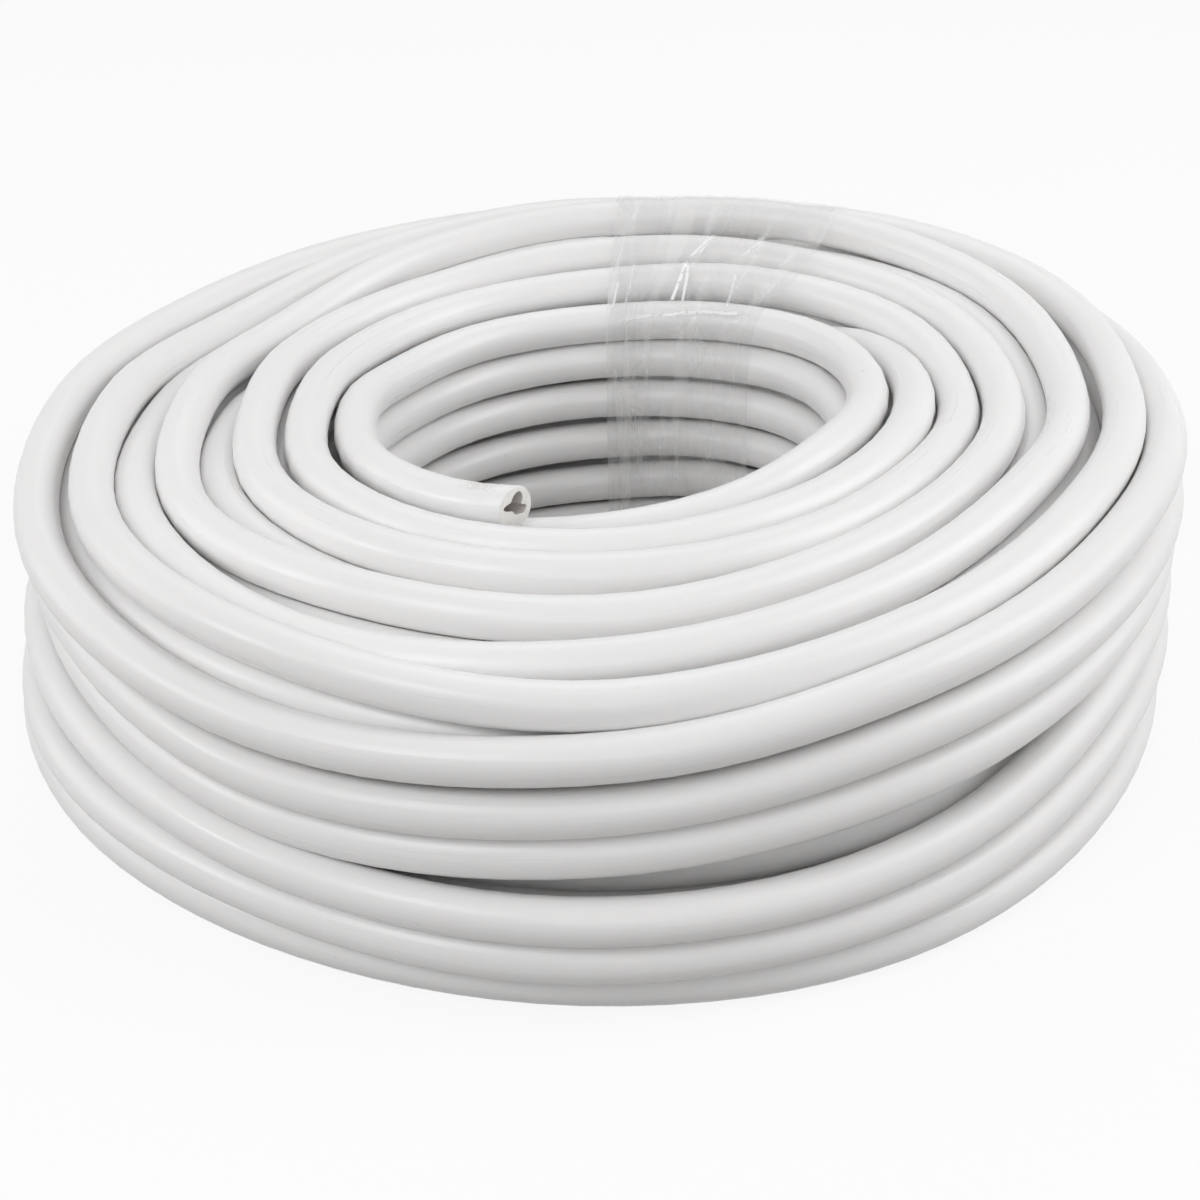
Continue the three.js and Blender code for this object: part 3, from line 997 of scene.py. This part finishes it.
@dataclass
class FilmBand:
    """The band of clear film round the bundle at the back, drawn tight over the outermost strands."""

    lay: CoilLay
    width: float = 0.1
    inner_span: Pair = (47.5, 88.0)  # degrees of the film's two edges, at the eye
    outer_span: Pair = (58.5, 87.0)
    inner_radius: float = 6.0
    outer_radius: float = 13.6
    clearance: float = 0.045
    least_height: float = 0.03
    disc_corners: int = 40
    upper_part: float = 4.0  # height above which a place counts as on the top
    sections: int = 33
    section_span: Pair = (44, 92)  # degrees of the first and last section
    evened: int = 3  # times that each section is rounded off
    columns: int = 56  # points across the film
    around: int = 220  # points round it
    right_wave: Triple = (0.5, 9.0, 0.7)  # of an edge: degrees either way, points to a radian, offset
    left_wave: Triple = (0.35, 13.0, 0.0)
    waves: tuple[Wave, ...] = (Wave(9, 1.0, 0.5, 0.4), Wave(14, -2.0, 0.3, 2.1), Wave(23, 3.0, 0.2, 4.0))
    swings: int = 3  # times that a wave of skew 1 shifts by its own length on the way round
    least_lift: float = 0.008
    eye_lift: float = 0.024

    def hull(self, angle: float) -> np.ndarray:
        """The film's section at an angle: the tightest line round all strands there.

        Args:
            angle: degrees round the axis.

        Returns:
            radius and height of evenly spaced points, from the top middle on, outwards.
        """
        corner = np.linspace(0, 2 * math.pi, self.disc_corners, endpoint=False)
        disc = np.stack([np.cos(corner), np.sin(corner)], axis=1) * (0.5 + self.clearance)
        cloud = (self.lay.section(angle)[:, None] + disc[None]).reshape(-1, 2)
        cloud = cloud[np.lexsort((cloud[:, 1], cloud[:, 0]))]

        def chain(points: Iterable[np.ndarray]) -> list[np.ndarray]:
            """One side of the tightest line.

            Args:
                points: all the points, in order of radius.

            Returns:
                those on that side, without the last.
            """
            made: list[np.ndarray] = []
            for p in points:
                while len(made) > 1:
                    a, b = made[-1] - made[-2], p - made[-2]
                    if a[0] * b[1] - a[1] * b[0] > 0:
                        break
                    made.pop()
                made.append(p)
            return made[:-1]

        loop = np.array(chain(cloud) + chain(cloud[::-1]))[::-1]
        middle = (self.inner_radius + self.outer_radius) / 2
        upper = np.where(loop[:, 1] > self.upper_part)[0]
        first = upper[np.argmin(np.abs(loop[upper, 0] - middle))]
        loop = np.roll(loop, -first, axis=0)
        closed = np.vstack([loop, loop[:1]])
        run = runs(closed)
        even = np.linspace(0, run[-1], self.around, endpoint=False)
        radii = closed[:2, 0]
        start = np.interp(middle, radii, run[:2]) if radii[1] > radii[0] else 0
        return picked((even + start) % run[-1], run, closed)

    def build(self) -> bpy.types.Object:
        """Returns:
            the piece.
        """
        angles = np.linspace(*self.section_span, self.sections)
        hulls = np.array([self.hull(a) for a in angles])
        for _ in range(self.evened):
            hulls = (np.roll(hulls, 1, axis=1) + 2 * hulls + np.roll(hulls, -1, axis=1)) / 4
        middle = hulls[len(angles) // 2]
        share = np.clip((middle[:, 0] - self.inner_radius) / (self.outer_radius - self.inner_radius), 0, 1)
        right = self.inner_span[0] + (self.outer_span[0] - self.inner_span[0]) * share
        left = self.inner_span[1] + (self.outer_span[1] - self.inner_span[1]) * share
        across = np.linspace(0, 1, self.columns)
        at = right[:, None] + (left - right)[:, None] * across[None]
        at += self.edge(self.right_wave) * (1 - across)[None] + self.edge(self.left_wave) * across[None]
        place = np.empty((self.around, self.columns, 2))
        for j in range(self.around):
            for i in range(2):
                place[j, :, i] = np.interp(at[j], angles, hulls[:, j, i])
        out = np.roll(middle, -1, axis=0) - np.roll(middle, 1, axis=0)
        out /= np.linalg.norm(out, axis=1)[:, None]
        normal = np.stack([-out[:, 1], out[:, 0]], axis=1)
        place += self.pleats(across, share)[..., None] * normal[:, None]
        place[..., 1] = np.maximum(place[..., 1], self.least_height)
        points = turned(place, at).reshape(-1, 3) * HOSE + np.array(AXIS)
        return self.finish(points, middle)

    def edge(self, wave: Triple) -> np.ndarray:
        """How far an edge of the film strays at each place round the band, in degrees."""
        size, length, offset = wave
        return size * np.sin(np.arange(self.around) / length + offset)[:, None]

    def pleats(self, across: np.ndarray, share: np.ndarray) -> np.ndarray:
        """How far the gathered film stands off the strands, in diameters.

        Args:
            across: places across the band, 0 to 1.
            share: how far out each place round the band lies, 0 at the eye and 1 outside.

        Returns:
            the lift at each place round and across.
        """
        phase = np.cumsum(np.full(self.around, 2 * math.pi / self.around))[:, None]
        total = np.zeros((self.around, len(across)))
        for wave in self.waves:
            run = 2 * math.pi * wave.count * across[None] + wave.skew * phase * self.swings
            total += wave.size * np.sin(run + wave.offset)
        depth = self.least_lift + self.eye_lift * (1 - share)
        return depth[:, None] * (total + 1)

    def finish(self, points: np.ndarray, middle: np.ndarray) -> bpy.types.Object:
        """Turns the points into the dressed piece, attached to the root.

        Args:
            points: the band's points, round by round.
            middle: the band's middle section, for its length.

        Returns:
            the piece.
        """
        m, n = self.around, self.columns
        faces, uv = [], []
        run = np.linalg.norm(middle - np.roll(middle, -1, axis=0), axis=1).sum() * HOSE
        for j in range(m):
            k = (j + 1) % m
            for i in range(n - 1):
                faces.append([j * n + i, j * n + i + 1, k * n + i + 1, k * n + i])
                a, b = i / (n - 1) * self.width, (i + 1) / (n - 1) * self.width
                c, d = j / m * run, (j + 1) / m * run
                uv += [(a, c), (b, c), (b, d), (a, d)]
        piece = shaped(Patch(points, faces, [0] * len(faces), uv), "clear_film", "across_film")
        piece.data.materials.append(ClearFilm().made())
        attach(piece, "root")
        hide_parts("film_band")
        LOG.info("film: %.3f m round the bundle", run)
        return piece


@dataclass(frozen=True)
class PaleFloor:
    """A pale, faintly mottled floor, nearly white to the eye, which keeps a soft shadow."""

    pale: Triple = (0.90, 0.90, 0.90)
    paler: Triple = (0.92, 0.92, 0.92)
    thrown_back: Triple = (0.34, 0.33, 0.32)  # its colour for the light that it sends up to the coil
    own_light: float = 0.88  # the share of what is seen of it that is plain white
    mottle_scale: float = 3.0
    roughness: float = 0.9

    def made(self) -> bpy.types.Material:
        """The material.

        Returns:
            the finished material.
        """
        result, graph = material("pale_floor")
        mottle = graph.noise(graph.coordinates(Follow.OBJECT), self.mottle_scale)
        straight = graph.node("ShaderNodeLightPath")[Ray.CAMERA]
        colour = graph.mixed(straight, self.thrown_back, graph.mixed(mottle, self.pale, self.paler))
        plain = graph.surface({"Base Color": colour, "Roughness": self.roughness})
        glow = graph.node("ShaderNodeEmission", None, {"Color": WHITE, "Strength": 1.0})[0]
        graph.finish(graph.between(graph.background_seen() * self.own_light, plain, glow))
        return result


@dataclass(frozen=True)
class Lamp:
    """One soft square lamp: where it hangs and its side in metres, and its power in watts."""

    name: str
    place: Triple
    size: float
    power: float


@dataclass
class Studio:
    """The camera, the pale floor and the soft lamps."""

    elevation: float = 29.195
    distance: float = 0.8851
    target: Triple = (0.0, 0.0, 0.02898)
    lens: float = 66.0855
    sensor: float = 36.0
    clip_end: float = 20.0
    floor_size: float = 30.0
    floor_drop: float = 0.0002
    daylight: Triple = (0.985, 0.99, 1.0)
    surround: float = 0.37  # strength of the light from all round
    lamps_aim: Triple = (0.0, 0.0, 0.06)
    lamps: tuple[Lamp, ...] = (
        Lamp("key_lamp", (-0.75, -1.0, 1.15), 0.6, 4.3),
        Lamp("streak_lamp", (-1.3, -0.5, 0.75), 0.2, 2.0),
        Lamp("left_lamp", (-1.5, 0.1, 0.6), 1.0, 3.6),
        Lamp("right_lamp", (1.5, 0.0, 0.6), 1.0, 5.6),
        Lamp("high_right_lamp", (1.1, -0.2, 1.15), 0.8, 5.2),
        Lamp("front_lamp", (0.0, -1.2, 0.75), 0.6, 1.4),
        Lamp("high_back_lamp", (0.0, 0.9, 1.3), 0.9, 2.5),
    )

    def camera(self) -> None:
        """Sets the camera at the photograph's viewing angle."""
        rise = math.radians(self.elevation)
        target = Vector(self.target) + AXIS
        place = target + Vector((0.0, -math.cos(rise), math.sin(rise))) * self.distance
        bpy.ops.object.camera_add(location=place, rotation=(math.pi / 2 - rise, 0.0, 0.0))
        camera = bpy.context.object
        camera.name = "photo_camera"
        camera.data.lens = self.lens
        camera.data.sensor_width = self.sensor
        camera.data.clip_end = self.clip_end
        bpy.context.scene.camera = camera

    def floor(self) -> None:
        """Lays the pale floor, which shows white and keeps the coil's shadow."""
        bpy.ops.object.select_all(action="DESELECT")
        bpy.ops.mesh.primitive_plane_add(size=self.floor_size, location=(0.0, 0.0, -self.floor_drop))
        floor = bpy.context.object
        floor.name = "studio_floor"
        bpy.ops.object.transform_apply(location=True, rotation=True, scale=True)
        floor.data.materials.append(PaleFloor().made())

    def hang(self, lamp: Lamp) -> None:
        """Hangs one lamp so that it faces the coil.

        Args:
            lamp: the lamp's place, size and power.
        """
        bpy.ops.object.light_add(type="AREA", location=lamp.place)
        made = bpy.context.object
        made.name = lamp.name
        made.data.size = lamp.size
        made.data.energy = lamp.power
        made.data.color = self.daylight
        aim = Vector(self.lamps_aim) - Vector(lamp.place)
        made.rotation_euler = aim.to_track_quat("-Z", "Y").to_euler()

    def light(self) -> None:
        """Lights the coil softly from both sides, mostly from the front left, in an even white surround."""
        for lamp in self.lamps:
            self.hang(lamp)
        world = bpy.data.worlds.new("studio_world")
        bpy.context.scene.world = world
        world.use_nodes = True
        graph = Graph(world.node_tree)
        light = {"Color": (*self.daylight, 1.0), "Strength": self.surround}
        soft = graph.node("ShaderNodeBackground", None, light)[0]
        white = graph.node("ShaderNodeBackground", None, {"Color": WHITE, "Strength": 1.0})[0]
        mixed = graph.between(graph.background_seen(), soft, white)
        graph.node("ShaderNodeOutputWorld", None, {"Surface": mixed})
        bpy.context.scene.view_settings.view_transform = "Standard"


def main() -> None:
    """Builds the scene, camera and cord first, and reports each piece."""
    logging.basicConfig(level=logging.INFO, format="%(name)s: %(message)s")
    studio = Studio()
    studio.camera()
    lay = CoilLay()
    lay.settle()
    for piece in (Hose(lay).build(), FilmBand(lay).build()):
        LOG.info("%s: %d faces", piece.name, len(piece.data.polygons))
    studio.floor()
    studio.light()


if __name__ == "__main__":
    main()
